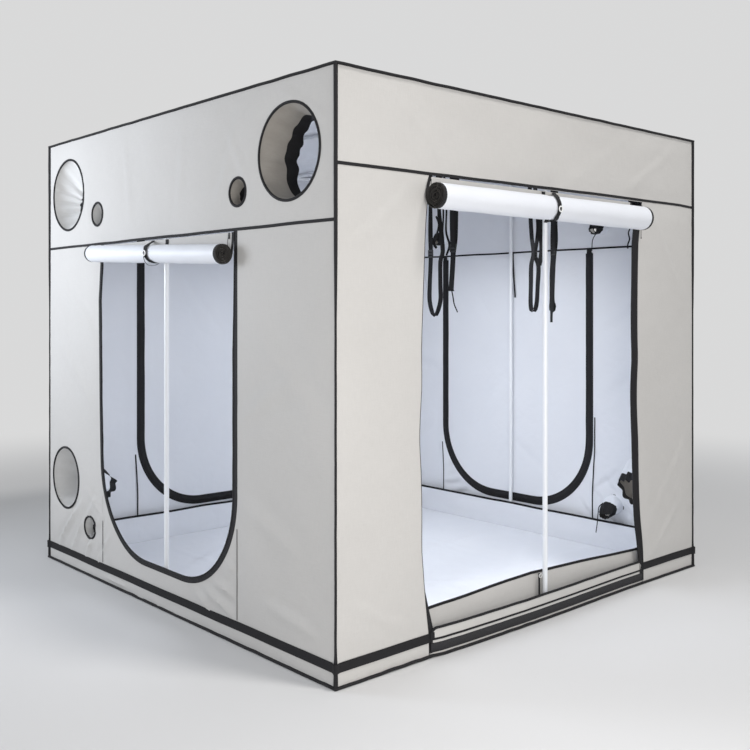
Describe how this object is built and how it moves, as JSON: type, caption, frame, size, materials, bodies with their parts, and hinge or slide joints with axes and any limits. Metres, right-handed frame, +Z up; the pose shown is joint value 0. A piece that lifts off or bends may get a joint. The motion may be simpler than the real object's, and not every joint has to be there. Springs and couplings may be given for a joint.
{
  "type": "indoor grow tent",
  "caption": "Square walk-in indoor grow tent: tubular frame, canvas skin, rolled-up and zipped doors, ducting sleeves, floor tray and hanging belts.",
  "frame": {"origin": "on the ground at the middle of the tent's square plan, on the ground sheet's underside", "axes": "+Z up; the front doorway faces -Y and the side doorway faces -X"},
  "size_m": [2.5135, 2.5402, 2.2087],
  "materials": {
    "canvas": "woven, coated, matt",
    "lining": "reflective white coating, satin",
    "black_webbing": "woven, matt",
    "black_plastic": "moulded, satin",
    "white_plastic": "moulded, smooth",
    "white_steel": "powder coated, satin"
  },
  "bodies": {
    "tent": {"back_base_rail": "white_steel", "back_centre_upright": "white_steel", "back_door_panel": "canvas", "back_left_upright": "white_steel", "back_right_upright": "white_steel", "back_top_rail": "white_steel", "back_wall": "canvas", "back_zip_tape": "black_webbing", "base_webbing": "black_webbing", "edge_binding": "black_webbing", "front_base_rail": "white_steel", "front_left_upright": "white_steel", "front_right_upright": "white_steel", "front_sill": "canvas", "front_top_rail": "white_steel", "front_wall": "canvas", "front_zip_tape_left": "black_webbing", "front_zip_tape_right": "black_webbing", "ground_sheet": "canvas", "hook_strip": "black_webbing", "left_base_rail": "white_steel", "left_header": "canvas", "left_roof_bar": "white_steel", "left_sleeve_large_front": "canvas", "left_sleeve_large_rear": "canvas", "left_sleeve_medium": "canvas", "left_top_rail": "white_steel", "left_wall": "canvas", "left_zip_tape": "black_webbing", "right_base_rail": "white_steel", "right_centre_upright": "white_steel", "right_door_panel": "canvas", "right_header": "canvas", "right_roof_bar": "white_steel", "right_sleeve_large_front": "canvas", "right_sleeve_large_rear": "canvas", "right_sleeve_medium": "canvas", "right_top_rail": "white_steel", "right_wall": "canvas", "right_zip_tape": "black_webbing", "roof_panel": "canvas", "tray_binding": "black_webbing", "tray_floor": "lining", "tray_walls": "lining"},
    "front_door": {"front_door_roll": "lining", "front_roll_strap": "black_webbing", "front_roll_ring": "white_plastic"},
    "left_door": {"left_door_roll": "lining", "left_roll_strap": "black_webbing", "left_roll_ring": "white_plastic"},
    "front_pole": {"front_door_pole": "white_steel"},
    "left_pole": {"left_door_pole": "white_steel"},
    "right_slider_up": {"right_slider_upper": "black_plastic"},
    "right_slider_down": {"right_slider_lower": "black_plastic"},
    "back_slider_up": {"back_slider_upper": "black_plastic"},
    "back_slider_down": {"back_slider_lower": "black_plastic"},
    "belt_1": {"hanging_belt_1": "black_webbing"},
    "belt_2": {"hanging_belt_2": "black_webbing"},
    "belt_3": {"hanging_belt_3": "black_webbing"},
    "belt_4": {"hanging_belt_4": "black_webbing"}
  },
  "joints": [
    {"name": "front_door_swing", "type": "hinge", "parent": "tent", "child": "front_door", "pos_m": [-0.064, -1.2013, 1.8457], "axis": [-1, 0, 0], "range_deg": [0, 60]},
    {"name": "left_door_swing", "type": "hinge", "parent": "tent", "child": "left_door", "pos_m": [-1.2013, 0.015, 1.6457], "axis": [0, 1, 0], "range_deg": [0, 60]},
    {"name": "front_pole_lift", "type": "slide", "parent": "tent", "child": "front_pole", "axis": [0, 0, 1], "range_m": [0, 0.022]},
    {"name": "left_pole_lift", "type": "slide", "parent": "tent", "child": "left_pole", "axis": [0, 0, 1], "range_m": [0, 0.022]},
    {"name": "right_slider_up_run", "type": "slide", "parent": "tent", "child": "right_slider_up", "axis": [0, 0, 1], "range_m": [0, 0.55]},
    {"name": "right_slider_down_run", "type": "slide", "parent": "tent", "child": "right_slider_down", "axis": [0, 0, -1], "range_m": [0, 0.36]},
    {"name": "back_slider_up_run", "type": "slide", "parent": "tent", "child": "back_slider_up", "axis": [0, 0, 1], "range_m": [0, 0.75]},
    {"name": "back_slider_down_run", "type": "slide", "parent": "tent", "child": "back_slider_down", "axis": [0, 0, -1], "range_m": [0, 0.36]},
    {"name": "belt_1_run", "type": "slide", "parent": "tent", "child": "belt_1", "axis": [0, 1, 0], "range_m": [-0.08, 0.045]},
    {"name": "belt_2_run", "type": "slide", "parent": "tent", "child": "belt_2", "axis": [0, 1, 0], "range_m": [-0.045, 1.9]},
    {"name": "belt_3_run", "type": "slide", "parent": "tent", "child": "belt_3", "axis": [0, 1, 0], "range_m": [-0.16, 0.055]},
    {"name": "belt_4_run", "type": "slide", "parent": "tent", "child": "belt_4", "axis": [0, 1, 0], "range_m": [-0.055, 1.8]}
  ]
}
